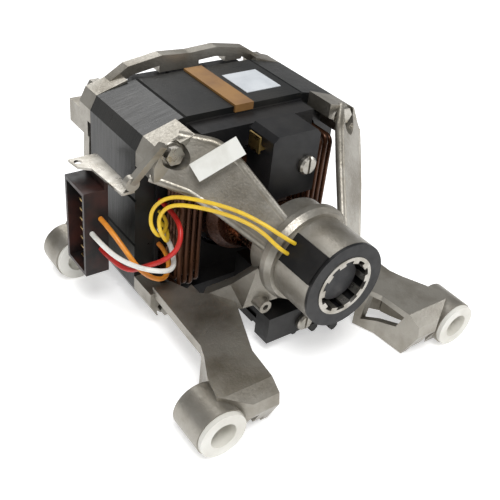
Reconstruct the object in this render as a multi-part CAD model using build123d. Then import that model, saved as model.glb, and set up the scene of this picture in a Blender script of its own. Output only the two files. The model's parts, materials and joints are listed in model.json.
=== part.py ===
"""Brushed washing machine motor with an open frame, two cast shields and four bush mounts.

Origin: on the shaft's axis, at the middle plane of the belt pulley.
+Y points out of the pulley end, +X to the right as seen from the sensor end, +Z up.
Sizes are millimetres. Names that end in share or shares are parts of the size that they follow.
"""
from build123d import *
import math
import os

import numpy

os.makedirs("parts", exist_ok=True)

# General fits
fixed_fit = 0.05          # radial room of a piece that is seated for good
running_fit = 0.06        # radial room of a piece that slides or turns
face_gap = 0.1            # room between faces that are clamped together
free_gap = 0.3            # room beside a curved or soft piece
overrun = 1.0             # how far a cutting body runs past what it cuts

# Stator core
core_wide = 116.0
core_high = 100.0
core_long = 45.0
core_crease_half = 33.5   # from the middle to the crease at each side of the flat top
core_shoulder_inset = 3.5 # from the core's side to the crease of its shoulder
core_shoulder_fall = 5.0
core_side_fall = 12.0     # where the upright side starts, below the flat top
core_groove = 1.2
window_half_wide = 46.0
window_half_high = 38.0
window_corner = 12.0
pole_neck_half = 17.0
pole_shoe_thick = 4.0
pole_shoe_half_angle = 57.0
air_gap = 0.6
bolt_x = 48.2
bolt_z = 42.0
bolt_radius = 2.5
bolt_room = 0.3

# Stations along the shaft
pulley_to_core = 44.0
front_shield_deep = 57.0
hub_long = 25.2
rear_plate_gap = 6.0      # from the core to the rear shield's frame
core_rear = -pulley_to_core
core_front = core_rear - core_long
core_middle = (core_rear + core_front) / 2
collar_y = core_front - front_shield_deep
hub_face = collar_y - hub_long

half_wide = core_wide / 2
half_high = core_high / 2
core_shoulder_half = half_wide - core_shoulder_inset

# Bearings, the same size at both ends
bearing_bore = 7.5
bearing_outer = 17.5
bearing_wide = 11.0
bearing_inner_wall = 3.4
bearing_outer_wall = 3.4
ball_radius = 2.9
ball_room = 0.15
ball_count = 8
cage_half_wide = 2.0
cage_half_thick = 0.9
cage_back = 1.0           # band behind the balls
bearing_pitch = (bearing_bore + bearing_outer) / 2

# Front hub
hub_radius = 21.2
hub_wall = 2.2
hub_mouth = hub_radius - hub_wall
hub_mouth_deep = 20.0
collar_radius = 24.6
collar_long = 3.0
collar_cone = 3.0
collar_step = 23.0
seat_radius = 21.8        # of the bearing's housing, behind the collar
seat_long = 14.0
shoulder_hole = 12.0
shoulder_thick = 3.0
washer_thick = 1.2
washer_inner = 13.5
front_bearing_y = hub_face + hub_mouth_deep + shoulder_thick + washer_thick + 2 * face_gap

# Bush mounts
mount_x = 70.0
mount_z = -41.0
boss_radius = 11.8
front_boss_long = 18.5
rear_boss_long = 16.0
bush_sleeve = 9.0
bush_bore = 6.25
bush_flange = 11.2
bush_flange_thick = 2.2
front_boss_ahead = 40.0   # from the collar forward to the front boss's face
rear_boss_ahead = 6.0     # from the core's rear face forward to the rear boss's face
front_boss_y = collar_y - front_boss_ahead
rear_boss_y = core_rear - rear_boss_ahead
floor_z = mount_z - boss_radius

# Front legs
leg_top_z = -28.0
leg_wall = 3.6
leg_rise = 0.5            # from the boss's lowest line to the leg's lower edge
leg_floor_z = floor_z + leg_rise

# Shaft and rotor
armature_radius = 27.5
slot_count = 22
slot_wide = 3.4
slot_deep = 9.0
slot_mouth = 1.6
slot_liner = 0.3
end_disc_thick = 1.4
winding_inner = 11.5
winding_outer = 25.0
winding_front_long = 13.0
winding_rear_long = 11.0
winding_round = 4.0
commutator_radius = 16.0
commutator_bar_thick = 3.6
commutator_long = 22.0
commutator_gap = 0.5
commutator_riser = 2.6
commutator_riser_long = 2.6
commutator_y = collar_y + 18.0
shaft_nose_radius = 5.0
shaft_tail_radius = 6.0
pulley_radius = 9.5
pulley_long = 18.0
pulley_rib_pitch = 2.34
pulley_rib_deep = 1.9
pulley_ribs = 6
pulley_rib_shares = (0.1, 0.5, 0.9)
shaft_past_pulley = 2.0
fan_radius = 29.0
fan_hub_radius = 11.0
fan_disc_thick = 1.5
fan_blade_deep = 4.6
fan_blade_thick = 1.4
fan_blades = 13

# Rear hub
rear_hub_radius = 21.5
rear_bearing_y = core_rear + 20.5
rear_hub_lip = 1.0
rear_hub_back = 1.5

# Brush gear
brush_wide = 5.0
brush_axial = 12.5
brush_long = 21.0
brush_y = collar_y + 28.5
guide_wall = 0.8
guide_start = 3.0         # from the commutator to the guide
guide_long = 30.0
holder_wall = 2.6
screw_radius = 2.0
screw_head_radius = 4.6
screw_head_thick = 2.6
head_edge_share = 0.35
screw_slot = 1.2
screw_long = 13.0
screw_bore_room = 0.2

# Speed sensor
cup_flange = 1.4          # the cup's flange lies on the hub's face
cup_deep = 18.6
cup_floor = 2.0
cup_face = hub_face - face_gap - cup_flange
claw_proud = 0.3          # from the cup's face forward to the claw ring
claw_radius = 14.8
claw_band = 1.7
claw_tooth_long = 1.6
claw_thick = 1.6
claw_teeth = 10
claw_tooth_wide_share = 0.44
claw_tooth_reach_share = 0.7
magnet_radius = 10.0
magnet_long = 9.0
sensor_angle = 142.0
sensor_wide = 14.5
sensor_long = 20.0
sensor_deep = 6.3

# Field coils
coil_wire = 2.2
coil_loops = 5
coil_layers = 4
coil_pitch = 2.9
coil_layer_pitch = 3.3
coil_corner = 3.4
coil_gap = 0.8            # from the pole and the insulators to the first turn
coil_first_x = 32.6
insulator_thick = 1.3
insulator_guard_deep = 12.0


# Helpers


def face_at(end, sketch):
    """Move an XZ outline to the station end, facing the sensor end."""
    return Plane.XZ.offset(-end) * sketch


def slab(sketch, start, end):
    """Extrude an XZ outline along Y, from start to end."""
    return extrude(face_at(end, sketch), amount=end - start)


def outline(points):
    """Closed flat face from corner points."""
    return make_face(Polyline(*points, close=True))


def rod(radius, start, end, x=0, z=0):
    """Round bar along Y."""
    return slab(Pos(x, z) * Circle(radius), start, end)


def tube(outer, inner, start, end, x=0, z=0):
    """Round tube along Y."""
    return slab(Pos(x, z) * (Circle(outer) - Circle(inner)), start, end)


def block(x0, x1, y0, y1, z0, z1):
    """Box between two corners."""
    middle = Pos((x0 + x1) / 2, (y0 + y1) / 2, (z0 + z1) / 2)
    return middle * Box(abs(x1 - x0), abs(y1 - y0), abs(z1 - z0))


def turned(profile):
    """Turn a profile of (radius, station) corners about the shaft's axis."""
    return revolve(Plane.XY * outline(profile), Axis.Y)


def swept_bar(points, radius, bend):
    """Round bar along corner points, with rounded bends."""
    path = FilletPolyline(*points, radius=bend) if len(points) > 2 else Line(*points)
    start = Plane(origin=path @ 0, z_dir=path % 0)
    return sweep(start * Circle(radius), path=path)


def around(count, shape):
    """Copies of a shape about the shaft's axis."""
    return [Rot(0, 360 * i / count, 0) * shape for i in range(count)]


def part_of(solids):
    """One solid from several that meet."""
    whole = solids[0]
    for solid in solids[1:]:
        whole = whole + solid
    return whole


def save(name, shape):
    """Write one piece, as one solid or as a group of separate solids."""
    solids = shape.solids() if hasattr(shape, "solids") else [s for one in shape for s in one.solids()]
    piece = solids[0] if len(solids) == 1 else Compound(children=list(solids))
    piece.label = name
    export_step(piece, f"parts/{name}.step")


# Stator core


def core_outline():
    """Outer edge of the core, with its sloping shoulders."""
    half = [
        (core_crease_half, half_high),
        (core_shoulder_half, half_high - core_shoulder_fall),
        (half_wide, half_high - core_side_fall),
    ]
    right = half + [(x, -z) for x, z in reversed(half)]
    return right + [(-x, -z) for x, z in right]


def stator_core():
    """Lamination stack with two poles, crease grooves and bolt holes."""
    bore = armature_radius + air_gap
    shoe_outer = bore + pole_shoe_thick
    window = RectangleRounded(2 * window_half_wide, 2 * window_half_high, window_corner)
    wedge_reach = 2 * bore
    wedge_rise = wedge_reach * math.tan(math.radians(pole_shoe_half_angle))
    wedge = outline([(0, 0), (wedge_reach, wedge_rise), (wedge_reach, -wedge_rise)])
    shoe = (Circle(shoe_outer) - Circle(bore)) & wedge
    neck = Pos((bore + window_half_wide) / 2, 0) * Rectangle(
        window_half_wide - bore + 2 * air_gap, 2 * pole_neck_half
    )
    neck = neck - Circle(bore)
    pole = shoe + neck
    sheet = outline(core_outline()) - window + pole + mirror(pole, Plane.YZ)
    groove = Rot(0, 0, 45) * Rectangle(core_groove, core_groove)
    marks = [(x, z) for x in (-core_crease_half, core_crease_half) for z in (-half_high, half_high)]
    marks += [(side * half_wide, z) for side in (-1, 1) for z in (-half_high / 4, half_high / 4)]
    for mark in marks:
        sheet = sheet - Pos(*mark) * groove
    for x, z in bolt_places():
        sheet = sheet - Pos(x, z) * Circle(bolt_radius + bolt_room)
    return slab(sheet, core_front, core_rear)


def bolt_places():
    """The four through bolts, seen along the shaft."""
    return [(x, z) for x in (-bolt_x, bolt_x) for z in (-bolt_z, bolt_z)]


strip_left = -6.9
strip_right = 3.5
strip_thick = 1.1
strip_tab_high = 2.6


def core_strip():
    """Strip laid over the core, bent down at its front end."""
    low = half_high + fixed_fit
    high = low + strip_thick
    bed = block(strip_left, strip_right, core_front, core_rear, low, high)
    tab = block(
        strip_left, strip_right, core_front - face_gap - strip_thick, core_front - face_gap,
        half_high - strip_tab_high, high,
    )
    bridge = block(strip_left, strip_right, core_front - face_gap, core_front, low, high)
    return bed + bridge + tab


plate_left = 7.5
plate_right = 28.0
plate_front_gap = 10.0
plate_long = 22.0
plate_thick = 0.3


def nameplate():
    """Bare label on the core's flat top."""
    start = core_front + plate_front_gap
    low = half_high + fixed_fit
    return block(plate_left, plate_right, start, start + plate_long, low, low + plate_thick)


# Field coils and their insulation


insulator_shares = [(0.57, 0.94), (0.66, 0.78), (0.82, 0.54)]
insulator_slot_room = 2.0


def insulator_sheet():
    """Flat outline of one coil insulator: round the bore, the coil slots and the bolt corners."""
    quarter = [(x * half_wide, z * half_high) for x, z in insulator_shares]
    right = quarter + [(x, -z) for x, z in reversed(quarter)]
    sheet = outline(right + [(-x, -z) for x, z in right]) - Circle(armature_radius + 2 * air_gap)
    slot_inner = coil_first_x - coil_layer_pitch / 2
    slot_outer = window_half_wide - free_gap
    slot_low = pole_neck_half + free_gap / 2
    slot_high = window_half_high - insulator_slot_room
    for side_sign in (-1, 1):
        for rise in (-1, 1):
            middle = (side_sign * (slot_inner + slot_outer) / 2, rise * (slot_low + slot_high) / 2)
            slot = Rectangle(slot_outer - slot_inner, slot_high - slot_low)
            sheet = sheet - Pos(*middle) * slot
    return sheet


guard_half_wide = 32.0
guard_low = 38.6
guard_high = 46.6


def coil_insulator(face, outward, cover=None):
    """Plastic frame on one end of the core, with guards above and below the coils."""
    near = face + outward * face_gap
    far = near + outward * insulator_thick
    body = slab(insulator_sheet(), min(near, far), max(near, far))
    deep = near + outward * insulator_guard_deep
    for rise in (-1, 1):
        body = body + block(
            -guard_half_wide, guard_half_wide, near, deep, rise * guard_low, rise * guard_high
        )
    if cover:
        body = body + cover
    return body


cover_left = -12.0
cover_right = 10.0
cover_long = 9.0
cover_top = 47.8


def rear_insulator_cover():
    """Raised lead cover on the rear insulator's top guard."""
    start = core_rear + face_gap
    return block(cover_left, cover_right, start, start + cover_long, guard_low, cover_top)


def coil_points():
    """Corners of one wound coil: each layer spirals out or in, then climbs along one side."""
    half_y = core_long / 2 + insulator_thick + face_gap + coil_gap + coil_wire / 2
    half_z = pole_neck_half + coil_gap + coil_wire / 2
    points = []
    growth = 0.0
    step = coil_pitch / 4
    for layer in range(coil_layers):
        x = coil_first_x + layer * coil_layer_pitch
        sign = 1 if layer % 2 == 0 else -1
        for side in range(4 * coil_loops):
            y_grow = growth if side % 2 == 0 else growth + sign * step
            z_grow = growth + sign * step if side % 2 == 0 else growth
            y_sign = 1 if side % 4 in (0, 3) else -1
            z_sign = -1 if side % 4 in (0, 1) else 1
            y = core_middle + y_sign * (half_y + y_grow)
            z = z_sign * (half_z + z_grow)
            points.append((x, y, z))
            growth += sign * step
    return points


def least_gap(path, wire, samples, skip):
    """Least distance between two turns of a wound wire, surface to surface."""
    places = numpy.array([tuple(path @ (i / samples)) for i in range(samples + 1)])
    least = 1e9
    for i in range(0, samples, 2):
        rest = places[i + skip:]
        if len(rest):
            least = min(least, float(numpy.sqrt(((rest - places[i]) ** 2).sum(axis=1)).min()))
    return least - wire


def field_coil():
    """One wound coil round a pole, as a single unbroken wire."""
    path = FilletPolyline(*coil_points(), radius=coil_corner)
    start = Plane(origin=path @ 0, z_dir=path % 0)
    wire = sweep(start * Circle(coil_wire / 2), path=path)
    volume_share = wire.volume / (math.pi * coil_wire ** 2 / 4 * path.length)
    print("field coil: length", round(path.length), "volume share", round(volume_share, 4))
    print("field coil: least gap", round(least_gap(path, coil_wire, 6000, 20), 2))
    return wire


# Front shield

# Places of the shield's arms are shares of half width, shield depth and half height
left_arm_shares = [(-0.29, 0.04, 0.26), (-0.83, 0.74, 0.84), (0.67, -0.02, 0.74)]
right_arm_shares = [(0.40, 0.02, 0.12), (0.88, 0.74, 0.78), (-0.78, -0.20, 0.60)]
arm_thick = 4.0
arm_rib = 2.3
arm_rib_bend = 12.0
# Edges of each arm's web: shares of the arm's length, along it and across it
left_top_shares = [(-0.05, 0.11), (0.56, 0.25), (0.79, 0.265), (1.05, 0.13)]
left_low_shares = [(-0.12, -0.11), (0.46, -0.12), (0.74, -0.145), (1.03, -0.24)]
right_top_shares = [(-0.06, 0.14), (0.50, 0.19), (0.79, 0.20), (1.03, 0.14)]
right_low_shares = [(-0.10, -0.14), (0.46, -0.19), (0.74, -0.19), (0.98, -0.18)]
left_tip_shares = (1.13, -0.10)
right_tip_shares = (1.08, -0.06)


def at(shares):
    """Point of the front shield, from shares of half width, shield depth and half height."""
    x, y, z = shares
    return Vector(x * half_wide, collar_y + y * front_shield_deep, z * half_high)


def arm_frame(places):
    """Plane of an upper arm's web, and the arm's length, from its root, its corner and its slope."""
    root_shares, corner_shares, across_shares = places
    root = at(root_shares)
    along = at(corner_shares) - root
    across = Vector(*across_shares)
    plane = Plane(origin=root, x_dir=along.normalized(), z_dir=along.cross(across).normalized())
    return plane, along.length


def upper_arm(places, top_shares, low_shares, tip_shares):
    """Upper arm: a broad web with a round rib on each edge."""
    plane, length = arm_frame(places)
    top = [(u * length, v * length) for u, v in top_shares]
    low = [(u * length, v * length) for u, v in low_shares]
    tip = [(tip_shares[0] * length, tip_shares[1] * length)]
    web = extrude(plane * outline(low + tip + list(reversed(top))), amount=arm_thick)
    spine = plane.offset(arm_thick / 2)
    ribs = []
    for edge in (top, low):
        ribs.append(swept_bar([spine.from_local_coords(point) for point in edge], arm_rib, arm_rib_bend))
    return part_of([web] + ribs)


pad_inner_shares = [(0.66, 1.0), (0.66, 0.85), (0.80, 0.78), (0.85, 0.62), (1.0, 0.62)]
pad_deep = 16.5
pad_pocket = 6.2
pad_seat = 13.0           # metal left between the bolt's head and the core


def corner_pad(side, rise, near, far):
    """Pad that clamps one corner of the core, from the station near to the station far."""
    outer = [
        (half_wide, half_high - core_side_fall),
        (core_shoulder_half, half_high - core_shoulder_fall),
    ]
    inner = [(x * half_wide, z * half_high) for x, z in pad_inner_shares]
    points = [(side * x, rise * z) for x, z in inner + outer]
    return slab(outline(points), near, far)


def hub():
    """Long hub, collar and bearing seat."""
    mouth_end = hub_face + hub_mouth_deep
    seat_start = mouth_end + shoulder_thick
    collar_end = collar_y + collar_long
    seat_end = collar_y + seat_long
    body = turned([
        (0, hub_face), (hub_radius, hub_face), (hub_radius, collar_y - collar_cone),
        (collar_step, collar_y - collar_cone), (collar_radius, collar_y), (collar_radius, collar_end),
        (seat_radius, collar_end), (seat_radius, seat_end), (0, seat_end),
    ])
    body = body - rod(hub_mouth, hub_face - overrun, mouth_end)
    body = body - rod(shoulder_hole, mouth_end - overrun, seat_start + overrun)
    return body - rod(bearing_outer + fixed_fit, seat_start, seat_end + overrun)


def sensor_slot(room):
    """Space of the sensor's coil block, open at the hub's face."""
    wide = sensor_wide + 2 * room
    reach = hub_radius + overrun
    inner = hub_radius - sensor_deep - room
    middle = (inner + reach) / 2
    long = sensor_long + room
    shape = Pos(middle, hub_face + long / 2, 0) * Box(reach - inner, long, wide)
    return Rot(0, -sensor_angle, 0) * shape


lower_arm_top_shares = [(-0.40, 0.10, -0.08), (-0.46, 0.35, -0.44), (-0.64, 0.48, -0.60)]
lower_arm_low_shares = [(-0.22, 0.02, -0.44), (-0.44, 0.18, -0.60), (-0.60, 0.40, -0.72)]
lower_arm_back_shares = (0.10, 0.10, -0.02)


def lower_arm():
    """Lower left arm: a twisted plate from the collar down to the leg's top."""
    top = [at(shares) for shares in lower_arm_top_shares]
    low = [at(shares) for shares in lower_arm_low_shares]
    back = at(lower_arm_back_shares) - at((0, 0, 0))
    pieces = []
    for i in range(len(top) - 1):
        front = [top[i], top[i + 1], low[i + 1], low[i]]
        pieces.append(ConvexPolyhedron(front + [point + back for point in front]))
    return part_of(pieces)


# Plan of the left leg's top: shares of the bush's x place and of the shield's depth
leg_plan_shares = [
    (-0.40, 0.20), (-0.46, 0.02), (-0.565, -0.30), (-0.60, -0.74), (-0.77, -0.74), (-0.98, -0.58),
    (-0.94, -0.38), (-0.86, -0.18), (-0.825, -0.06), (-0.82, 0.14), (-0.80, 0.74), (-0.66, 0.74),
    (-0.57, 0.50), (-0.39, 0.36),
]
# Side view of the leg: shares of the shield's depth and of the leg's height above the floor
leg_side_shares = [(0.74, 1.0), (-0.60, 1.0), (-0.72, 0.86), (-0.74, 0.62), (-0.62, 0.0), (0.74, 0.0)]
leg_window_shares = [(-0.19, 0.88), (-0.56, 0.86), (-0.50, 0.52), (-0.16, 0.20)]
leg_window_from_share = 0.72
leg_window_deep_share = 0.4
leg_reach_share = 1.2     # half width that holds the whole leg
leg_slot_x_share = 0.765
leg_slot_wide = 4.5
leg_skirt = 5.0           # lip left under the top plate, behind the nose
leg_open_shares = (-0.10, 0.76)
# Foot of the slanted wall behind the nose, in plan
leg_strut_shares = [
    (-0.835, -0.12), (-0.76, -0.02), (-0.71, 0.06), (-0.63, 0.21), (-0.60, 0.30), (-0.585, 0.53),
    (-0.585, 0.62),
]


def side_face(points, x):
    """Flat face across X, from (y, z) corners."""
    return Plane(origin=(x, 0, 0), x_dir=(0, 1, 0), z_dir=(1, 0, 0)) * outline(points)


def leg_side(shares):
    """Side view corners of the leg, in millimetres."""
    high = leg_top_z - leg_floor_z
    return [(collar_y + y * front_shield_deep, leg_floor_z + z * high) for y, z in shares]


def leg_shell(inset):
    """Outer form of the left leg, or its inside when inset by the wall."""
    plan = outline([(x * mount_x, collar_y + y * front_shield_deep) for x, y in leg_plan_shares])
    if inset:
        plan = offset(plan, amount=-inset, kind=Kind.INTERSECTION)
    column = extrude(Pos(0, 0, floor_z - overrun) * plan, amount=leg_top_z - floor_z + 2 * overrun)
    reach = mount_x * leg_reach_share
    side = side_face(leg_side(leg_side_shares), -reach)
    if inset:
        side = offset(side, amount=-inset, kind=Kind.INTERSECTION)
        low = block(-reach, 0, front_boss_y - front_boss_long, core_front, leg_floor_z - overrun,
                    leg_floor_z + inset + overrun)
    body = column & extrude(side, amount=reach)
    if inset:
        lower = side_face([(y, z - inset - 2 * overrun) for y, z in leg_side(leg_side_shares)], -reach)
        body = body + (column & low & extrude(lower, amount=reach))
    return body


def leg_strut():
    """Slanted wall between the core's corner and the boss."""
    line = [(x * mount_x, collar_y + y * front_shield_deep) for x, y in leg_strut_shares]
    inner = [(x + leg_wall, y + leg_wall / 2) for x, y in line]
    high = leg_top_z - leg_wall / 2 - leg_floor_z
    return extrude(Pos(0, 0, leg_floor_z) * outline(line + inner[::-1]), amount=high)


def front_leg():
    """Left leg: a channel open below, with its window, its boss and the slot beside it."""
    body = leg_shell(0) - leg_shell(leg_wall)
    window = side_face(leg_side(leg_window_shares), -mount_x * leg_window_from_share)
    body = body - extrude(window, amount=mount_x * leg_window_deep_share)
    open_start, open_end = [collar_y + y * front_shield_deep for y in leg_open_shares]
    body = body - block(-mount_x * leg_reach_share, 0, open_start, open_end, floor_z - overrun,
                        leg_top_z - leg_skirt)
    body = body + leg_strut()
    boss_end = front_boss_y + front_boss_long
    boss = rod(boss_radius, front_boss_y, boss_end, -mount_x, mount_z)
    inside = rod(boss_radius - overrun, front_boss_y, boss_end, -mount_x, mount_z)
    body = body - inside + boss
    slot_x = -leg_slot_x_share * mount_x
    slot = block(
        slot_x - leg_slot_wide / 2, slot_x + leg_slot_wide / 2, front_boss_y - overrun,
        front_boss_y + front_boss_long / 2, floor_z + leg_wall, leg_top_z - leg_wall,
    )
    body = body - slot
    return body - rod(bush_sleeve + fixed_fit, front_boss_y - overrun, boss_end + overrun,
                      -mount_x, mount_z)


lug_shares = (-1.12, 0.84, 0.575)
lug_radius = 3.4
lug_long = 3.4
strap_from_shares = (-0.96, 0.72, 0.92)
strap_wide = 3.2


def side_lug():
    """Strap from the upper left corner down to the lug of the connector's bracket."""
    start = at(strap_from_shares)
    end = at(lug_shares)
    along = (end - start).normalized()
    plane = Plane(origin=start, x_dir=(0, 1, 0), z_dir=along)
    strap = extrude(plane * Rectangle(lug_long, strap_wide), amount=(end - start).length)
    foot = start - along * strap_wide
    root = extrude(Plane(origin=foot, x_dir=(0, 1, 0), z_dir=along) * Rectangle(lug_long, strap_wide),
                   amount=strap_wide + overrun)
    lug = rod(lug_radius, end.Y - lug_long / 2, end.Y + lug_long / 2, end.X, end.Z)
    return strap + root + lug


tap_boss_shares = (-0.335, -0.5)
tap_boss_radius = 3.3
tap_hole = 1.5
tap_boss_long = 9.0


def front_shield():
    """Cast front shield, one solid."""
    left = [lower_arm(), front_leg()]
    right = [mirror(piece, Plane.YZ) for piece in left]
    left.append(upper_arm(left_arm_shares, left_top_shares, left_low_shares, left_tip_shares))
    right.append(upper_arm(right_arm_shares, right_top_shares, right_low_shares, right_tip_shares))
    pads = []
    for side in (-1, 1):
        for rise in (-1, 1):
            pads.append(corner_pad(side, rise, core_front - face_gap - pad_deep, core_front - face_gap))
    tap_x = tap_boss_shares[0] * half_wide
    tap_z = tap_boss_shares[1] * half_high
    tap = rod(tap_boss_radius, collar_y + overrun, collar_y + tap_boss_long, tap_x, tap_z)
    body = part_of([hub()] + left + right + pads + [side_lug(), tap])
    body = body - rod(hub_mouth, hub_face - overrun, hub_face + hub_mouth_deep)
    body = body - rod(bearing_outer + fixed_fit, hub_face + hub_mouth_deep + shoulder_thick,
                      collar_y + seat_long + overrun)
    body = body - rod(shoulder_hole, hub_face, collar_y + seat_long)
    body = body - sensor_slot(fixed_fit)
    body = body - rod(tap_hole, collar_y - overrun, collar_y + tap_boss_long + overrun, tap_x, tap_z)
    seat_y = core_front - face_gap - pad_seat
    for x, z in bolt_places():
        body = body - rod(bolt_radius + bolt_room, seat_y - overrun, core_front, x, z)
        body = body - rod(pad_pocket, core_front - 2 * pad_deep, seat_y, x, z)
    return body


# Rear shield

rear_rim_shares = [(0.0, 1.12), (0.28, 1.14), (0.60, 1.08), (0.80, 0.94), (0.96, 0.68), (0.98, 0.0),
                   (0.96, -0.68), (0.80, -0.94), (0.57, -1.045), (0.0, -1.045)]
rear_rim_band = 5.0
rear_rim_deep = 6.0
rear_lip_low_share = 0.965
rear_lip_top_share = 1.05
rear_lip_shares = [(-0.30, 0.10), (0.38, 0.56)]
rear_link_shares = [(0.90, -0.20), (1.00, -0.20), (1.20, -0.60), (1.06, -0.80), (0.90, -0.94)]
rear_arm_ahead = 0.7      # from the rear bearing's face forward to the arms
rear_arm_start = rear_bearing_y - rear_arm_ahead
rear_arm_deep = 6.5
rear_arm_root_shares = [(0.10, 0.42), (0.36, 0.12)]
rear_arm_tip_shares = [(0.84, 0.66), (0.96, 0.42)]
rear_arm_outer_shares = [(0.98, 0.42), (0.98, 0.66)]


def rear_arm(side, rise):
    """One arm: a flat bar behind the coil's end and a post forward to the frame."""
    def place(shares):
        return [(side * x * half_wide, rise * z * half_high) for x, z in shares]

    root = place(rear_arm_root_shares)
    tip = place(rear_arm_tip_shares)
    bar = slab(outline(root + tip[::-1]), rear_arm_start, rear_arm_start + rear_arm_deep)
    outer = place(rear_arm_outer_shares)
    post = slab(outline([tip[0], (tip[0][0], tip[1][1]), outer[0], outer[1]]),
                core_rear + rear_plate_gap, rear_arm_start + rear_arm_deep)
    return bar + post


def rear_shield():
    """Cast rear shield: a frame round the coil ends, four arms, the hub and two legs."""
    near = core_rear + rear_plate_gap
    far = near + rear_rim_deep
    half = [(x * half_wide, z * half_high) for x, z in rear_rim_shares]
    points = half + [(-x, z) for x, z in reversed(half[1:-1])]
    rim = outline(points)
    frame = slab(rim - offset(rim, amount=-rear_rim_band, kind=Kind.INTERSECTION), near, far)
    pieces = [frame]
    for start, end in rear_lip_shares:
        pieces.append(block(start * half_wide, end * half_wide, near, far, rear_lip_low_share * half_high,
                            rear_lip_top_share * half_high))
    boss_end = rear_boss_y + rear_boss_long
    for side in (-1, 1):
        for rise in (-1, 1):
            pieces.append(corner_pad(side, rise, core_rear + face_gap, far))
            pieces.append(rear_arm(side, rise))
        boss = rod(boss_radius, rear_boss_y, boss_end, side * mount_x, mount_z)
        beside_core = block(-half_wide - free_gap, half_wide + free_gap, rear_boss_y - overrun,
                            core_rear + face_gap, -half_high, half_high)
        pieces.append(boss - beside_core)
        link = [(side * x * half_wide, z * half_high) for x, z in rear_link_shares]
        pieces.append(slab(outline(link), near, boss_end))
    back = rear_bearing_y + bearing_wide + rear_hub_back
    pieces.append(rod(rear_hub_radius, rear_bearing_y - rear_hub_lip, back))
    body = part_of(pieces)
    body = body - rod(bearing_outer + fixed_fit, rear_bearing_y - 2 * overrun,
                      rear_bearing_y + bearing_wide + face_gap)
    body = body - rod(shoulder_hole, rear_bearing_y, back + overrun)
    for side in (-1, 1):
        body = body - rod(bush_sleeve + fixed_fit, rear_boss_y - overrun, boss_end + overrun,
                          side * mount_x, mount_z)
    for x, z in bolt_places():
        body = body - rod(bolt_radius + bolt_room, core_rear, far + overrun, x, z)
    return body


# Fasteners

bolt_head_across = 8.0
bolt_head_thick = 3.4
bolt_washer_radius = 5.0
bolt_washer_thick = 1.0
bolt_past_nut = 1.5
nut_thick = 4.0


def through_bolts():
    """Four long bolts with their washers, from the front pads to the rear nuts."""
    seat = core_front - face_gap - pad_seat
    nut_seat = core_rear + rear_plate_gap + rear_rim_deep + fixed_fit
    group = []
    for x, z in bolt_places():
        head_face = seat - fixed_fit
        head = slab(Pos(x, z) * RegularPolygon(bolt_head_across / 2, 6, major_radius=False),
                    head_face - bolt_washer_thick - bolt_head_thick, head_face - bolt_washer_thick)
        washer = rod(bolt_washer_radius, head_face - bolt_washer_thick, head_face, x, z)
        shank = rod(bolt_radius, head_face - bolt_washer_thick, nut_seat + nut_thick + bolt_past_nut, x, z)
        group.append(head + washer + shank)
    return group


def bolt_nuts():
    """Four nuts behind the rear shield."""
    start = core_rear + rear_plate_gap + rear_rim_deep + fixed_fit
    nuts = []
    for x, z in bolt_places():
        nut = slab(Pos(x, z) * RegularPolygon(bolt_head_across / 2, 6, major_radius=False),
                   start, start + nut_thick)
        nuts.append(nut - rod(bolt_radius + fixed_fit, start - overrun, start + nut_thick + overrun, x, z))
    return nuts


# Bushes


def bush(side, start, long):
    """White bush in a leg's boss, with its flange on the side of the sensor."""
    face = start - fixed_fit
    end = start + long
    x = side * mount_x
    body = rod(bush_flange, face - bush_flange_thick, face, x, mount_z)
    body = body + rod(bush_sleeve, face - bush_flange_thick / 2, end, x, mount_z)
    return body - rod(bush_bore, start - long, end + long, x, mount_z)


# Bearings


def bearing(start):
    """Outer ring, inner ring, cage and balls of one ball bearing."""
    end = start + bearing_wide
    middle = (start + end) / 2
    groove = Pos(0, middle, 0) * Rot(90, 0, 0) * Torus(bearing_pitch, ball_radius + ball_room)
    outer = tube(bearing_outer, bearing_outer - bearing_outer_wall, start, end) - groove
    inner = tube(bearing_bore + bearing_inner_wall, bearing_bore, start, end) - groove
    ball = Pos(bearing_pitch, middle, 0) * Sphere(ball_radius)
    drill = Rot(0, 90, 0) * Cylinder(ball_radius + ball_room, 4 * cage_half_thick)
    pocket = Pos(bearing_pitch, middle, 0) * drill
    cage = tube(bearing_pitch + cage_half_thick, bearing_pitch - cage_half_thick,
                middle - cage_half_wide, middle + ball_radius + cage_back)
    for hole in around(ball_count, pocket):
        cage = cage - hole
    return outer, inner, cage, around(ball_count, ball)


def wave_washer():
    """Preload washer between the front bearing and the hub's shoulder."""
    start = hub_face + hub_mouth_deep + shoulder_thick + face_gap
    return tube(bearing_outer - free_gap, washer_inner, start, start + washer_thick)


# Rotor

shaft_front_gap = 4.4     # from the hub's face to the shaft's end
shaft_end = pulley_long / 2 + shaft_past_pulley
magnet_cap = 1.5          # from the shaft's end forward to the magnet's face


def shaft():
    """Ground shaft, thinner at the sensor's magnet and under the pulley."""
    start = hub_face + shaft_front_gap
    step = front_bearing_y - overrun
    tail = rear_bearing_y + bearing_wide + 3 * overrun
    body = turned([
        (0, start), (shaft_nose_radius, start), (shaft_nose_radius, step), (bearing_bore - fixed_fit, step),
        (bearing_bore - fixed_fit, tail), (shaft_tail_radius, tail), (shaft_tail_radius, shaft_end),
        (0, shaft_end),
    ])
    return body


def slot_sheet(room):
    """One rotor slot, reduced by room on each side."""
    floor = armature_radius - slot_deep + room
    roof = armature_radius - slot_mouth - room
    return Pos((floor + roof) / 2, 0) * Rectangle(roof - floor, slot_wide - 2 * room)


def rotor_sheet(radius, hole):
    """Rotor lamination outline with its slots and their mouths."""
    sheet = Circle(radius) - Circle(hole)
    mouth = Pos(armature_radius, 0) * Rectangle(3 * slot_mouth, slot_mouth)
    for i in range(slot_count):
        turn = Rot(0, 0, 360 * i / slot_count)
        sheet = sheet - turn * slot_sheet(0) - turn * mouth
    return sheet


def armature_core():
    """Slotted rotor stack."""
    return slab(rotor_sheet(armature_radius, bearing_bore), core_front, core_rear)


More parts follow.
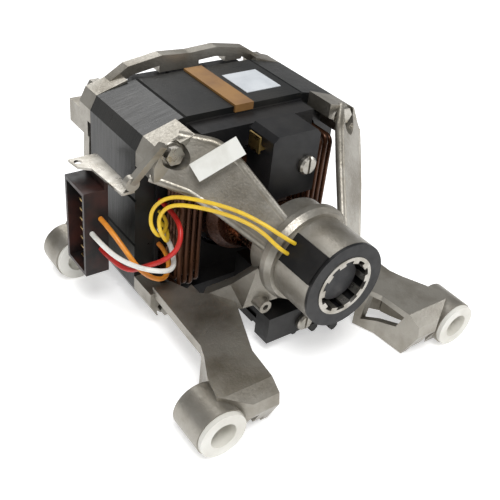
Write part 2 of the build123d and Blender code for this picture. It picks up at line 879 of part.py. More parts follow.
def end_disc(start):
    """Insulating disc on one end of the rotor stack."""
    return slab(rotor_sheet(armature_radius - air_gap, bearing_bore), start, start + end_disc_thick)


def armature_winding():
    """Wound rotor coils: a rounded ring at each end, joined through the slots."""
    front_end = core_front - face_gap - end_disc_thick - face_gap
    rear_end = core_rear + face_gap + end_disc_thick + face_gap
    front = turned([
        (winding_inner, front_end), (winding_outer, front_end),
        (winding_outer, front_end - winding_front_long + winding_round),
        (winding_outer - winding_round, front_end - winding_front_long),
        (winding_inner + winding_round, front_end - winding_front_long),
        (winding_inner, front_end - winding_front_long + winding_round),
    ])
    rear = turned([
        (winding_inner, rear_end), (winding_outer, rear_end),
        (winding_outer, rear_end + winding_rear_long - winding_round),
        (winding_outer - winding_round, rear_end + winding_rear_long),
        (winding_inner, rear_end + winding_rear_long),
    ])
    bars = []
    for i in range(slot_count):
        sheet = Rot(0, 0, 360 * i / slot_count) * slot_sheet(slot_liner)
        bars.append(slab(sheet, front_end - overrun, rear_end + overrun))
    return part_of([front, rear] + bars)


def commutator():
    """Moulded hub and copper bars."""
    end = commutator_y + commutator_long
    core_radius = commutator_radius - commutator_bar_thick
    hub_body = tube(core_radius, bearing_bore, commutator_y, end)
    half_gap = math.degrees(commutator_gap / 2 / commutator_radius)
    half = 180 / slot_count - half_gap
    reach = 2 * commutator_radius
    wedge = outline([
        (0, 0),
        (reach * math.cos(math.radians(half)), reach * math.sin(math.radians(half))),
        (reach * math.cos(math.radians(half)), -reach * math.sin(math.radians(half))),
    ])
    band = (Circle(commutator_radius) - Circle(core_radius + fixed_fit)) & wedge
    riser = (Circle(commutator_radius + commutator_riser) - Circle(core_radius + fixed_fit)) & wedge
    bar = slab(band, commutator_y + overrun, end) + slab(riser, end - commutator_riser_long, end)
    return hub_body, around(slot_count, bar)


def pulley():
    """Belt pulley with its small vee ribs."""
    half = pulley_long / 2
    points = [(shaft_tail_radius + fixed_fit, -half), (pulley_radius, -half)]
    first = -pulley_ribs * pulley_rib_pitch / 2
    for i in range(pulley_ribs):
        start = first + i * pulley_rib_pitch
        rise, floor, crest = [start + pulley_rib_pitch * share for share in pulley_rib_shares]
        points += [(pulley_radius, rise), (pulley_radius - pulley_rib_deep, floor), (pulley_radius, crest)]
    points += [(pulley_radius, half), (shaft_tail_radius + fixed_fit, half)]
    return turned(points)


def fan():
    """Cooling fan with straight blades behind its disc."""
    start = core_rear + face_gap + end_disc_thick + face_gap + winding_rear_long + free_gap
    disc_end = start + fan_disc_thick
    disc = tube(fan_radius, bearing_bore + fixed_fit, start, disc_end)
    blade = block(fan_hub_radius, fan_radius - overrun, disc_end - overrun / 2, disc_end + fan_blade_deep,
                  -fan_blade_thick / 2, fan_blade_thick / 2)
    collar = tube(fan_hub_radius + overrun, bearing_bore + fixed_fit, start, disc_end + fan_blade_deep / 2)
    return part_of([disc, collar] + around(fan_blades, blade))


def tacho_magnet():
    """Round magnet that covers the shaft's nose."""
    nose = hub_face + shaft_front_gap
    body = rod(magnet_radius, nose - magnet_cap, nose + magnet_long)
    return body - rod(shaft_nose_radius + fixed_fit, nose - fixed_fit, nose + magnet_long + overrun)


# Speed sensor


def tacho_cup():
    """Plastic cup in the hub's mouth, with its flange on the hub's face, cut open at the coil block."""
    end = hub_face + cup_deep
    outer = hub_mouth - fixed_fit
    body = tube(outer, claw_radius + fixed_fit, cup_face, end)
    body = body + tube(hub_radius - fixed_fit, claw_radius + fixed_fit, cup_face, hub_face - face_gap)
    body = body + tube(outer, shoulder_hole - overrun, end - cup_floor, end)
    return body - sensor_slot(free_gap)


def tacho_claw_ring():
    """Bright ring with inward teeth round the magnet."""
    start = cup_face - claw_proud
    inner = claw_radius - claw_band
    ring = tube(claw_radius, inner, start, start + claw_thick)
    pitch = 2 * math.pi * inner / claw_teeth
    half_tooth = pitch * claw_tooth_wide_share / 2
    tooth = block(inner - claw_tooth_long, inner + claw_band / 2, start,
                  start + cup_deep * claw_tooth_reach_share, -half_tooth, half_tooth)
    return part_of([ring] + around(claw_teeth, tooth))


def tacho_coil():
    """Coil block in the hub's slot."""
    inner = hub_radius - sensor_deep
    outer = hub_radius + overrun / 2
    long = sensor_long - fixed_fit
    shape = Pos((inner + outer) / 2, hub_face + long / 2, 0) * Box(outer - inner, long, sensor_wide)
    return Rot(0, -sensor_angle, 0) * shape


# Brush gear


def brush_guide(rise):
    """Brass guide of one brush."""
    low = commutator_radius + guide_start
    inner_x = brush_wide / 2 + running_fit
    inner_y = brush_axial / 2 + running_fit
    outer = block(-inner_x - guide_wall, inner_x + guide_wall, brush_y - inner_y - guide_wall,
                  brush_y + inner_y + guide_wall, rise * low, rise * (low + guide_long))
    hole = block(-inner_x, inner_x, brush_y - inner_y, brush_y + inner_y,
                 rise * (low - overrun), rise * (low + guide_long - guide_wall))
    return outer - hole


def brush(rise):
    """Carbon brush, hollowed to the commutator's curve."""
    low = commutator_radius - overrun
    body = block(-brush_wide / 2, brush_wide / 2, brush_y - brush_axial / 2, brush_y + brush_axial / 2,
                 rise * low, rise * (commutator_radius + free_gap + brush_long))
    return body - rod(commutator_radius + free_gap, brush_y - brush_axial, brush_y + brush_axial)


def brush_spring(rise):
    """Pressure spring between the brush and the guide's closed end."""
    start = commutator_radius + free_gap + brush_long + fixed_fit
    stop = commutator_radius + guide_start + guide_long - guide_wall - fixed_fit
    radius = brush_wide / 2 - free_gap
    coil = extrude(Pos(0, brush_y, rise * start) * (Circle(radius) - Circle(radius / 2)),
                   amount=rise * (stop - start))
    return coil


holder_left = -11.0
holder_right = 15.5
holder_front_gap = 8.5    # from the brush's middle to the holder's front face
holder_back_gap = 9.6
holder_low = 19.5
screw_x = 9.2
screw_z = 34.5
foot_left = -18.0
foot_right = 24.0
foot_front_gap = 30.0
foot_top = 31.5
foot_neck_long = 10.0     # full width of the foot, behind its front face
foot_bottom = 46.5
foot_rib_wide = 5.0
foot_rib_deep = 4.0
foot_screw_x = 3.6
foot_screw_z = -40.5
# Ribs under the foot: share of its width, and share of its depth that the rib stands back
foot_rib_shares = [(0.20, 0.18), (0.46, 0.08), (0.70, -0.02), (0.93, -0.15)]
rib_edge_share = 0.35


def guide_room(rise):
    """Space of one brass guide inside its holder."""
    half_x = brush_wide / 2 + running_fit + guide_wall + fixed_fit
    half_y = brush_axial / 2 + running_fit + guide_wall + fixed_fit
    low = commutator_radius
    high = commutator_radius + guide_start + guide_long + fixed_fit
    return block(-half_x, half_x, brush_y - half_y, brush_y + half_y, rise * low, rise * high)


def brush_holder_top():
    """Upper brush box."""
    body = block(holder_left, holder_right, brush_y - holder_front_gap, brush_y + holder_back_gap,
                 holder_low, commutator_radius + guide_start + guide_long + holder_wall)
    body = chamfer(body.edges().filter_by(Axis.Y).group_by(Axis.Z)[-1], holder_wall)
    front = brush_y - holder_front_gap
    body = body - guide_room(1) - tab_room(fixed_fit)
    return body - rod(screw_radius + screw_bore_room, front - overrun, front + screw_long + overrun,
                      screw_x, screw_z)


tab_thick = 0.8
tab_long = 8.0
tab_reach = 4.0           # how far its root goes into the holder's side
tab_low = 42.0
tab_high = 50.0
tab_out = 2.4             # from the holder's side to the blade
tab_gap = 6.0             # from the holder's front face to the tab


def tab_room(room):
    """Root of the brush's terminal in the upper holder, grown by room."""
    start = brush_y - holder_front_gap + tab_gap
    low = tab_low + tab_out - tab_thick - room
    return block(holder_left - room, holder_left + tab_reach + room, start - room, start + tab_long + room,
                 low, tab_low + tab_out + room)


def brush_tab():
    """Brass terminal on the left side of the upper brush box."""
    start = brush_y - holder_front_gap + tab_gap
    root = block(holder_left - tab_out, holder_left + tab_reach, start, start + tab_long,
                 tab_low + tab_out - tab_thick, tab_low + tab_out)
    blade = block(holder_left - tab_out - tab_thick, holder_left - tab_out, start, start + tab_long,
                  tab_low, tab_high)
    return root + blade


def brush_holder_bottom():
    """Lower brush box, with a ribbed foot that reaches forward under the collar."""
    deep = -(commutator_radius + guide_start + guide_long + holder_wall)
    body = block(holder_left, holder_right, brush_y - holder_front_gap, brush_y + holder_back_gap,
                 deep, -holder_low)
    front = brush_y - foot_front_gap
    body = body + block(foot_left, foot_right, front, front + foot_neck_long, -foot_bottom, -foot_top)
    body = body + block(holder_left, holder_right, front + foot_neck_long, brush_y, -foot_bottom, -foot_top)
    width = foot_right - foot_left
    for x_share, back_share in foot_rib_shares:
        middle = foot_left + x_share * width
        rib = block(middle - foot_rib_wide / 2, middle + foot_rib_wide / 2,
                    front + back_share * foot_front_gap, brush_y,
                    -foot_bottom - foot_rib_deep, -foot_bottom + overrun)
        rib = chamfer(rib.edges().filter_by(Axis.Y).group_by(Axis.Z)[0], foot_rib_wide * rib_edge_share)
        body = body + rib
    body = body - guide_room(-1)
    body = body - rod(screw_radius + screw_bore_room, front - overrun, front + screw_long + overrun,
                      foot_screw_x, foot_screw_z)
    return body


def holder_screw(x, z, seat):
    """Pan head screw with a slot, its head in front of the station seat."""
    face = seat - fixed_fit
    head = rod(screw_head_radius, face - screw_head_thick, face, x, z)
    rim = head.edges().filter_by(GeomType.CIRCLE).sort_by(Axis.Y)[0]
    head = chamfer(rim, screw_head_thick * head_edge_share)
    slot = block(x - screw_slot / 2, x + screw_slot / 2, face - screw_head_thick - overrun,
                 face - screw_head_thick / 2, z - 2 * screw_head_radius, z + 2 * screw_head_radius)
    return head - slot + rod(screw_radius, face - screw_head_thick / 2, face + screw_long, x, z)


# Connector

connector_x0 = -80.0
connector_x1 = -68.0
connector_behind = 7.0    # from the core's front face to the connector
connector_deep = 20.0
connector_y0 = core_front + connector_behind
connector_y1 = connector_y0 + connector_deep
connector_low = -28.0
connector_high = 18.0
connector_top = 24.0      # top of its right wall, under the bracket
connector_wall = 1.8
connector_floor = 3.0     # thickness behind the contacts
contact_count = 8
contact_thick = 0.9
contact_wide = 5.0
contact_inset = 3.5
bracket_thick = 1.2
bracket_hole = 1.8
bracket_hole_x = -75.0
bracket_hole_ahead = 4.0  # from the connector's rear face forward to the hole
bracket_low = connector_top + face_gap
# Plan of the bracket: shares from the lug to the connector's left side, and of the connector's depth
bracket_shares = [(-0.08, 1.0), (-0.08, -0.86), (0.33, -0.86), (0.47, 0.40), (0.80, 0.60), (0.87, 1.0)]


def connector_housing():
    """Tall plug housing, open to the left, with a raised right wall under its bracket."""
    body = block(connector_x0, connector_x1, connector_y0, connector_y1, connector_low, connector_high)
    body = body + block(connector_x1 - connector_wall, connector_x1, connector_y0, connector_y1,
                        connector_low, connector_top)
    pocket = block(connector_x0 - overrun, connector_x1 - connector_floor,
                   connector_y0 + connector_wall, connector_y1 - connector_wall,
                   connector_low + connector_wall, connector_high - connector_wall)
    return body - pocket


def connector_contacts():
    """Row of flat contact blades inside the housing."""
    pitch = (connector_high - connector_low - 2 * connector_wall) / contact_count
    middle_y = (connector_y0 + connector_y1) / 2
    floor = connector_x1 - connector_floor - fixed_fit
    blades = []
    for i in range(contact_count):
        z = connector_low + connector_wall + i * pitch + pitch / 2
        blades.append(block(connector_x0 + contact_inset, floor, middle_y - contact_wide / 2,
                            middle_y + contact_wide / 2, z - contact_thick / 2, z + contact_thick / 2))
    return blades


def connector_bracket():
    """Sheet metal plate over the connector, held by the shield's lug."""
    lug = at(lug_shares)
    wide = connector_x0 - lug.X
    plan = [(lug.X + x * wide, connector_y0 + y * connector_deep) for x, y in bracket_shares]
    plate = extrude(Pos(0, 0, bracket_low) * outline(plan), amount=bracket_thick)
    hole_y = connector_y1 - bracket_hole_ahead
    hole = Pos(bracket_hole_x, hole_y, bracket_low) * Cylinder(bracket_hole, 4 * bracket_thick)
    return plate - hole


# Thermal protector

protector_long = 23.0
protector_wide = 8.5
protector_thick = 6.5
protector_place_shares = (0.72, 0.18)
protector_turn = 110.7


def thermal_protector():
    """White sleeve of the thermal cut-out, lying on the upper left arm's web."""
    plane, length = arm_frame(left_arm_shares)
    u, v = protector_place_shares
    proud = arm_rib - arm_thick / 2 + face_gap
    place = plane * Pos(u * length, v * length, -protector_thick / 2 - proud)
    return place * Rot(0, 0, protector_turn) * Box(protector_long, protector_wide, protector_thick)


# Leads, each with its route from end to end

sensor_lead_wide = 1.8
motor_lead_wide = 2.4
lead_arc_share = 0.45     # of the shorter run beside a corner
lead_routes = {
    "sensor_lead_upper": (sensor_lead_wide, [
        (-15.44, -153.5, 15.49), (-20.95, -153.5, 19.8), (-27.5, -145, 24.5), (-34, -134, 26.8),
        (-43.5, -121, 27), (-52, -110, 25.5), (-59.5, -107.5, 20.5), (-62, -110, 13.5),
        (-58.5, -111.5, 6.5), (-51.5, -105.5, 3.5), (-45.8, -98, 4.2), (-45.8, -90.4, 4.2),
    ]),
    "sensor_lead_lower": (sensor_lead_wide, [
        (-18.76, -153.5, 11.23), (-23.4, -153.5, 15), (-28.8, -145.6, 21.9), (-35.3, -134.8, 24.2),
        (-44.6, -122, 24.4), (-53, -112, 22.6), (-58.2, -110.8, 17.4), (-58.8, -113, 11),
        (-54.5, -112.5, 3), (-49.5, -105, -0.6), (-45.8, -98, -0.8), (-45.8, -90.4, -0.8),
    ]),
    "lead_orange": (motor_lead_wide, [
        (-72, -82, 3), (-72, -90, 3), (-69.5, -100.5, -3), (-66, -107, -11), (-60, -110.5, -17),
        (-52.5, -109.5, -20.5), (-47, -103.5, -18), (-45.6, -97, -14.5), (-45.6, -90.4, -14.5),
    ]),
    "lead_red": (motor_lead_wide, [
        (-72, -82, -14), (-72, -90, -14), (-67.5, -100.5, -17), (-61, -107, -11.5), (-56, -114, -5.5),
        (-51, -117.5, 2), (-47.5, -113, 9.5), (-45.6, -100, 10.5), (-45.6, -90.4, 10.5),
    ]),
    "lead_white": (motor_lead_wide, [
        (-76.5, -82, -4), (-76.5, -91, -4), (-73, -102, -7), (-66.5, -112, -8), (-58, -117.5, -9),
        (-51.5, -115, -10.5), (-47.5, -107, -9), (-45.6, -98.5, -6), (-45.6, -90.4, -6),
    ]),
}


def lead(name, wide, points):
    """One insulated lead: straight runs joined by arcs as large as the runs allow."""
    corners = [Vector(*point) for point in points]
    radii = []
    for before, corner, after in zip(corners, corners[1:], corners[2:]):
        turn = math.radians((corner - before).get_angle(after - corner))
        run = min((corner - before).length, (after - corner).length)
        radii.append(lead_arc_share * run / math.tan(turn / 2))
    path = FilletPolyline(*corners, radius=radii)
    tube = sweep(Plane(origin=path @ 0, z_dir=path % 0) * Circle(wide / 2), path=path)
    share = tube.volume / (math.pi * wide ** 2 / 4 * path.length)
    print(name, "radii", [round(radius, 1) for radius in radii], "length", round(path.length, 1),
          "volume share", round(share, 4))
    return tube


# Write every piece

save("stator_core", stator_core())
save("core_strip", core_strip())
save("nameplate", nameplate())
save("coil_insulator_front", coil_insulator(core_front, -1))
save("coil_insulator_rear", coil_insulator(core_rear, 1, rear_insulator_cover()))
right_coil = field_coil()
save("field_coil_right", right_coil)
save("field_coil_left", mirror(right_coil, Plane.YZ))
save("front_shield", front_shield())
save("rear_shield", rear_shield())
save("through_bolts", through_bolts())
save("bolt_nuts", bolt_nuts())
for side, side_name in ((-1, "left"), (1, "right")):
    save(f"bush_front_{side_name}", bush(side, front_boss_y, front_boss_long))
    save(f"bush_rear_{side_name}", bush(side, rear_boss_y, rear_boss_long))
for end_name, start in (("front", front_bearing_y), ("rear", rear_bearing_y)):
    outer_ring, inner_ring, cage_ring, ball_set = bearing(start)
    save(f"{end_name}_bearing_outer", outer_ring)
    save(f"{end_name}_bearing_inner", inner_ring)
    save(f"{end_name}_bearing_cage", cage_ring)
    save(f"{end_name}_bearing_balls", ball_set)
save("wave_washer", wave_washer())
save("shaft", shaft())
save("armature_core", armature_core())
save("end_disc_front", end_disc(core_front - face_gap - end_disc_thick))
save("end_disc_rear", end_disc(core_rear + face_gap))
save("armature_winding", armature_winding())
commutator_hub, commutator_bars = commutator()
save("commutator_hub", commutator_hub)
save("commutator_bars", commutator_bars)
save("pulley", pulley())
save("fan", fan())
save("tacho_magnet", tacho_magnet())
save("tacho_cup", tacho_cup())
save("tacho_claw_ring", tacho_claw_ring())
save("tacho_coil", tacho_coil())
for rise, rise_name in ((1, "top"), (-1, "bottom")):
    save(f"brush_guide_{rise_name}", brush_guide(rise))
    save(f"brush_{rise_name}", brush(rise))
    save(f"brush_spring_{rise_name}", brush_spring(rise))
save("brush_holder_top", brush_holder_top())
save("brush_holder_bottom", brush_holder_bottom())
save("holder_screw_top", holder_screw(screw_x, screw_z, brush_y - holder_front_gap))
save("holder_screw_bottom", holder_screw(foot_screw_x, foot_screw_z, brush_y - foot_front_gap))
save("connector_housing", connector_housing())
save("connector_contacts", connector_contacts())
save("connector_bracket", connector_bracket())
save("brush_tab", brush_tab())
save("thermal_protector", thermal_protector())
for lead_name, (lead_wide, lead_points) in lead_routes.items():
    save(lead_name, lead(lead_name, lead_wide, lead_points))
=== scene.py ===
"""Looks of the washing machine motor: finishes, rounded edges, leads, studio light and camera."""
import json
import math

import bpy
from mathutils import Matrix, Vector


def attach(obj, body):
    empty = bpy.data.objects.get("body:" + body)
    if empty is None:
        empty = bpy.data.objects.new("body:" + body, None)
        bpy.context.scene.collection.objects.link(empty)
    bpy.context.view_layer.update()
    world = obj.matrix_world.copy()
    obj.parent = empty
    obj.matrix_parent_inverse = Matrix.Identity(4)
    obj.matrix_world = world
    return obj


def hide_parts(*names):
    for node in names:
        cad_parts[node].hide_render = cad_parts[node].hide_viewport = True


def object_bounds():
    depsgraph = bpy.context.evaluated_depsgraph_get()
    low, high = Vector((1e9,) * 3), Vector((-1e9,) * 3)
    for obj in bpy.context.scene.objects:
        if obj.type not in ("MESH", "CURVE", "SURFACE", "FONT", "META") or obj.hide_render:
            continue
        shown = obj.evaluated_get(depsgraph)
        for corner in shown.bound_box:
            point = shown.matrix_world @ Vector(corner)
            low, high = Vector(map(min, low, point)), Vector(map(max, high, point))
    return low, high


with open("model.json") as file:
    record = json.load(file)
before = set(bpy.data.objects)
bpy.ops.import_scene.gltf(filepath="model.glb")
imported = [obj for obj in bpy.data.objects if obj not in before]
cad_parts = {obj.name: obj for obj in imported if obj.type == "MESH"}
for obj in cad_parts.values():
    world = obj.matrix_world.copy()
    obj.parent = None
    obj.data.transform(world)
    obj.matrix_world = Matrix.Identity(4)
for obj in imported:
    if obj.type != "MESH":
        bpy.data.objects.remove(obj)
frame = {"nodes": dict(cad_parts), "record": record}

cad_box = [list(corner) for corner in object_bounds()]
MM = 0.001


# Finishes

EVEN = (1, 1, 1)
FINE_Y = (1, 30, 1)
NOISE_ROUGH = 0.55
NOISE_RANGE = (0.3, 0.7)
BLOTCH_DETAIL = 6.0
BLOTCH_RANGE = (0.42, 0.68)
GRAIN_DETAIL = 5.0
SMOOTHER = 0.08
ROUGHER = 0.10


def noise(tree, scale, detail, stretch):
    """Noise in object space, in metres, stretched along the axes."""
    place = tree.nodes.new("ShaderNodeTexCoord")
    mapping = tree.nodes.new("ShaderNodeMapping")
    mapping.inputs["Scale"].default_value = stretch
    texture = tree.nodes.new("ShaderNodeTexNoise")
    texture.inputs["Scale"].default_value = scale
    texture.inputs["Detail"].default_value = detail
    texture.inputs["Roughness"].default_value = NOISE_ROUGH
    tree.links.new(place.outputs["Object"], mapping.inputs["Vector"])
    tree.links.new(mapping.outputs["Vector"], texture.inputs["Vector"])
    return texture.outputs["Fac"]


def spread(tree, value, low, high):
    """A noise value spread over a range."""
    node = tree.nodes.new("ShaderNodeMapRange")
    node.inputs["From Min"].default_value = NOISE_RANGE[0]
    node.inputs["From Max"].default_value = NOISE_RANGE[1]
    node.inputs["To Min"].default_value = low
    node.inputs["To Max"].default_value = high
    tree.links.new(value, node.inputs["Value"])
    return node.outputs["Result"]


def finish_of(name, colour, worn, rough, metal=0.0, grain=260.0, blotch=28.0, bump=0.15, depth=0.0002,
              stretch=EVEN, gloss=0.5):
    """A finish: blotches from colour to worn, uneven roughness and a fine grain."""
    material = bpy.data.materials.new(name)
    material.use_nodes = True
    tree = material.node_tree
    shader = tree.nodes["Principled BSDF"]
    shader.inputs["Metallic"].default_value = metal
    shader.inputs["Specular IOR Level"].default_value = gloss
    blotches = noise(tree, blotch, BLOTCH_DETAIL, EVEN)
    ramp = tree.nodes.new("ShaderNodeValToRGB")
    for stop, position, shade in zip(ramp.color_ramp.elements, BLOTCH_RANGE, (colour, worn)):
        stop.position = position
        stop.color = (*shade, 1)
    tree.links.new(blotches, ramp.inputs["Fac"])
    tree.links.new(ramp.outputs["Color"], shader.inputs["Base Color"])
    grains = noise(tree, grain, GRAIN_DETAIL, stretch)
    tree.links.new(spread(tree, grains, rough - SMOOTHER, rough + ROUGHER), shader.inputs["Roughness"])
    relief = tree.nodes.new("ShaderNodeBump")
    relief.inputs["Strength"].default_value = bump
    relief.inputs["Distance"].default_value = depth
    tree.links.new(grains, relief.inputs["Height"])
    tree.links.new(relief.outputs["Normal"], shader.inputs["Normal"])
    return material


FINISHES = {
    "cast_aluminium": dict(colour=(0.36, 0.34, 0.30), worn=(0.20, 0.18, 0.145), rough=0.40, metal=0.80,
                           grain=900.0, blotch=42.0, bump=0.45, depth=0.0003),
    "core_black": dict(colour=(0.006, 0.007, 0.007), worn=(0.020, 0.019, 0.017), rough=0.34, grain=60.0,
                       stretch=FINE_Y, bump=0.35, depth=0.0002, gloss=0.35),
    "strip_brown": dict(colour=(0.30, 0.155, 0.045), worn=(0.20, 0.10, 0.035), rough=0.45, blotch=60.0),
    "label_white": dict(colour=(0.62, 0.65, 0.68), worn=(0.52, 0.55, 0.58), rough=0.38, blotch=70.0),
    "insulation_green": dict(colour=(0.008, 0.008, 0.009), worn=(0.022, 0.020, 0.018), rough=0.5, gloss=0.3),
    # enamel copper darkened far below bare copper: painted shade for coil ends that sit deep in shadow
    "enamel_copper": dict(colour=(0.055, 0.020, 0.009), worn=(0.11, 0.045, 0.02), rough=0.32, metal=0.6),
    "zinc_steel": dict(colour=(0.44, 0.42, 0.38), worn=(0.26, 0.24, 0.20), rough=0.30, metal=0.95,
                       blotch=120.0),
    "bush_white": dict(colour=(0.74, 0.73, 0.68), worn=(0.62, 0.60, 0.54), rough=0.42, blotch=60.0),
    "bearing_steel": dict(colour=(0.62, 0.62, 0.62), worn=(0.5, 0.5, 0.5), rough=0.18, metal=1.0),
    "shaft_steel": dict(colour=(0.52, 0.52, 0.52), worn=(0.40, 0.39, 0.38), rough=0.25, metal=1.0),
    "armature_steel": dict(colour=(0.22, 0.22, 0.23), worn=(0.12, 0.12, 0.12), rough=0.38, metal=0.9,
                           grain=60.0, stretch=FINE_Y, bump=0.4),
    # winding resin darkened along with the coil copper: painted shade for windings deep in shadow, over the
    # resin's own brown
    "winding_resin": dict(colour=(0.075, 0.026, 0.012), worn=(0.14, 0.055, 0.028), rough=0.30, metal=0.4,
                          grain=500.0, bump=0.7, depth=0.0005),
    "commutator_copper": dict(colour=(0.55, 0.27, 0.15), worn=(0.32, 0.16, 0.10), rough=0.25, metal=1.0),
    "moulding_brown": dict(colour=(0.07, 0.045, 0.03), worn=(0.11, 0.07, 0.05), rough=0.5),
    "fan_black": dict(colour=(0.025, 0.025, 0.028), worn=(0.05, 0.05, 0.05), rough=0.45),
    "magnet_dark": dict(colour=(0.012, 0.012, 0.014), worn=(0.03, 0.03, 0.032), rough=0.5, metal=0.2),
    "black_plastic": dict(colour=(0.006, 0.006, 0.007), worn=(0.018, 0.017, 0.016), rough=0.40, blotch=50.0,
                          gloss=0.3),
    "brass": dict(colour=(0.62, 0.44, 0.16), worn=(0.42, 0.28, 0.10), rough=0.28, metal=1.0, blotch=90.0),
    "carbon": dict(colour=(0.02, 0.02, 0.022), worn=(0.05, 0.05, 0.052), rough=0.5),
    "connector_plastic": dict(colour=(0.010, 0.009, 0.009), worn=(0.050, 0.018, 0.014), rough=0.4,
                              blotch=70.0, gloss=0.35),
    "protector_white": dict(colour=(0.72, 0.72, 0.68), worn=(0.60, 0.59, 0.54), rough=0.5, blotch=90.0),
    "lead_yellow": dict(colour=(0.80, 0.54, 0.03), worn=(0.66, 0.43, 0.04), rough=0.38, blotch=120.0),
    "lead_orange": dict(colour=(0.80, 0.30, 0.03), worn=(0.62, 0.20, 0.03), rough=0.38, blotch=120.0),
    "lead_red": dict(colour=(0.55, 0.02, 0.015), worn=(0.38, 0.02, 0.015), rough=0.38, blotch=120.0),
    "lead_white": dict(colour=(0.78, 0.78, 0.74), worn=(0.62, 0.61, 0.56), rough=0.42, blotch=120.0),
}
finishes = {name: finish_of(name, **values) for name, values in FINISHES.items()}


def dress_nodes():
    """Give every CAD node the finish of its slot."""
    for entry in frame["record"]["subparts"]:
        piece = frame["nodes"][entry["node"]]
        material = finishes[entry["material_slot"]]
        if not piece.material_slots:
            piece.data.materials.append(material)
        for holder in piece.material_slots:
            holder.link = "OBJECT"
            holder.material = material


dress_nodes()


# Widths of the rounded edges, in millimetres
SOFT_EDGES = {
    "front_shield": 0.7, "rear_shield": 0.7, "brush_holder_top": 0.4, "brush_holder_bottom": 0.4,
    "connector_housing": 0.4, "thermal_protector": 0.8, "tacho_coil": 0.3, "core_strip": 0.2,
    "tacho_cup": 0.3,
}
SHARP_ANGLE = 35.0
EDGE_STEPS = 2


def soften(node, width):
    """Round the sharp edges of a CAD node a little."""
    modifier = frame["nodes"][node].modifiers.new("edges", "BEVEL")
    modifier.width = width * MM
    modifier.segments = EDGE_STEPS
    modifier.limit_method = "ANGLE"
    modifier.angle_limit = math.radians(SHARP_ANGLE)
    modifier.use_clamp_overlap = True


for node, width in SOFT_EDGES.items():
    soften(node, width)


# Leads: the routes in millimetres, from one end to the other

SENSOR_LEAD = 1.8
MOTOR_LEAD = 2.4
LEAD_SIDES = 4
LEAD_STEPS = 10
SMOOTH_ORDER = 3
# For each lead: its width, its length, its finish and the corner points of its route
LEADS = {
    "sensor_lead_upper": (SENSOR_LEAD, 110.9, "lead_yellow", [
        (-15.44, -153.5, 15.49), (-20.95, -153.5, 19.8), (-27.5, -145, 24.5), (-34, -134, 26.8),
        (-43.5, -121, 27), (-52, -110, 25.5), (-59.5, -107.5, 20.5), (-62, -110, 13.5),
        (-58.5, -111.5, 6.5), (-51.5, -105.5, 3.5), (-45.8, -98, 4.2), (-45.8, -90.4, 4.2),
    ]),
    "sensor_lead_lower": (SENSOR_LEAD, 105.9, "lead_yellow", [
        (-18.76, -153.5, 11.23), (-23.4, -153.5, 15), (-28.8, -145.6, 21.9), (-35.3, -134.8, 24.2),
        (-44.6, -122, 24.4), (-53, -112, 22.6), (-58.2, -110.8, 17.4), (-58.8, -113, 11),
        (-54.5, -112.5, 3), (-49.5, -105, -0.6), (-45.8, -98, -0.8), (-45.8, -90.4, -0.8),
    ]),
    "lead_orange": (MOTOR_LEAD, 69.8, "lead_orange", [
        (-72, -82, 3), (-72, -90, 3), (-69.5, -100.5, -3), (-66, -107, -11), (-60, -110.5, -17),
        (-52.5, -109.5, -20.5), (-47, -103.5, -18), (-45.6, -97, -14.5), (-45.6, -90.4, -14.5),
    ]),
    "lead_red": (MOTOR_LEAD, 80.8, "lead_red", [
        (-72, -82, -14), (-72, -90, -14), (-67.5, -100.5, -17), (-61, -107, -11.5), (-56, -114, -5.5),
        (-51, -117.5, 2), (-47.5, -113, 9.5), (-45.6, -100, 10.5), (-45.6, -90.4, 10.5),
    ]),
    "lead_white": (MOTOR_LEAD, 75.2, "lead_white", [
        (-76.5, -82, -4), (-76.5, -91, -4), (-73, -102, -7), (-66.5, -112, -8), (-58, -117.5, -9),
        (-51.5, -115, -10.5), (-47.5, -107, -9), (-45.6, -98.5, -6), (-45.6, -90.4, -6),
    ]),
}


def lead(name, wide, material, points):
    """One insulated lead on its smooth route."""
    curve = bpy.data.curves.new(name + "_line", "CURVE")
    curve.dimensions = "3D"
    curve.bevel_depth = wide / 2 * MM
    curve.bevel_resolution = LEAD_SIDES
    curve.resolution_u = LEAD_STEPS
    curve.use_fill_caps = True
    spline = curve.splines.new("NURBS")
    spline.points.add(len(points) - 1)
    for target, point in zip(spline.points, points):
        target.co = (*[value * MM for value in point], 1)
    spline.order_u = SMOOTH_ORDER
    spline.use_endpoint_u = True
    piece = bpy.data.objects.new(name + "_line", curve)
    bpy.context.collection.objects.link(piece)
    curve.materials.append(finishes[material])
    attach(piece, "stator")
    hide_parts(name)


for name, (wide, long, material, points) in LEADS.items():
    lead(name, wide, material, points)


# Studio: places and sizes in metres, powers in watts

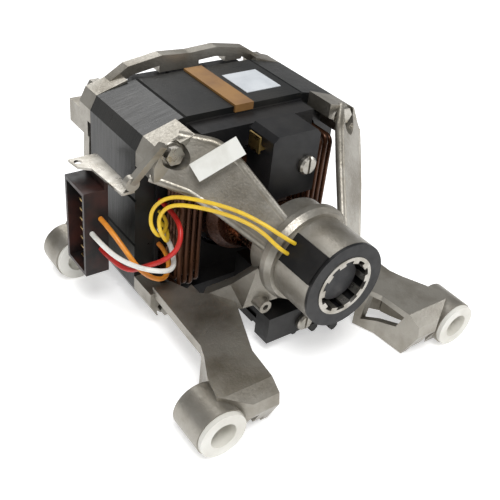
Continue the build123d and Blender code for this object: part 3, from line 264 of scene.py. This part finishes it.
LIGHTS = {
    "key": ((-0.30, -0.55, 0.95), 0.40, 8.0),
    "fill": ((0.80, -0.50, 0.40), 0.50, 3.0),
    "back": ((0.15, 0.65, 0.75), 0.50, 3.5),
}
LIT_POINT = (0, -0.09, 0)
SURROUND = 0.30
FLOOR_GLOW = 0.50
FLOOR_SIZE = 8
FLOOR_BELOW = 0.0002
WHITE = (1, 1, 1, 1)


def area_light(name, place, size, power):
    """Soft square light, turned to the motor."""
    data = bpy.data.lights.new(name, "AREA")
    data.size = size
    data.energy = power
    light = bpy.data.objects.new(name, data)
    light.location = place
    light.rotation_euler = (Vector(LIT_POINT) - Vector(place)).to_track_quat("-Z", "Y").to_euler()
    bpy.context.collection.objects.link(light)


def studio():
    """Pale floor, soft lights and an even white surround."""
    low = cad_box[0][2]
    bpy.ops.mesh.primitive_plane_add(size=FLOOR_SIZE, location=(0, 0, low - FLOOR_BELOW))
    floor = bpy.context.object
    floor.name = "floor"
    paper = finish_of("floor_pale", (0.86, 0.86, 0.86), (0.84, 0.84, 0.84), 0.75, bump=0.02, blotch=3.0)
    shader = paper.node_tree.nodes["Principled BSDF"]
    shader.inputs["Emission Color"].default_value = WHITE
    shader.inputs["Emission Strength"].default_value = FLOOR_GLOW
    floor.data.materials.append(paper)
    world = bpy.data.worlds.new("surround")
    world.use_nodes = True
    background = world.node_tree.nodes["Background"]
    background.inputs["Color"].default_value = WHITE
    background.inputs["Strength"].default_value = SURROUND
    bpy.context.scene.world = world
    for name, (place, size, power) in LIGHTS.items():
        area_light(name, place, size, power)


CAMERA_PLACE = (-0.2004, -0.3508, 0.2002)
CAMERA_RIGHT = (0.8133, -0.5738, 0.097)
CAMERA_UP = (0.270, 0.520, 0.811)
LENS_MM = 54.72
SENSOR_MM = 36.0


def camera():
    """The camera at the photograph's place."""
    right = Vector(CAMERA_RIGHT)
    back = right.cross(Vector(CAMERA_UP)).normalized()
    up = back.cross(right).normalized()
    data = bpy.data.cameras.new("camera")
    data.lens = LENS_MM
    data.sensor_width = SENSOR_MM
    eye = bpy.data.objects.new("camera", data)
    place = Matrix((right.normalized(), up, back)).transposed().to_4x4()
    place.translation = Vector(CAMERA_PLACE)
    eye.matrix_world = place
    bpy.context.collection.objects.link(eye)
    bpy.context.scene.camera = eye


studio()
camera()
bpy.context.scene.view_settings.view_transform = "Standard"
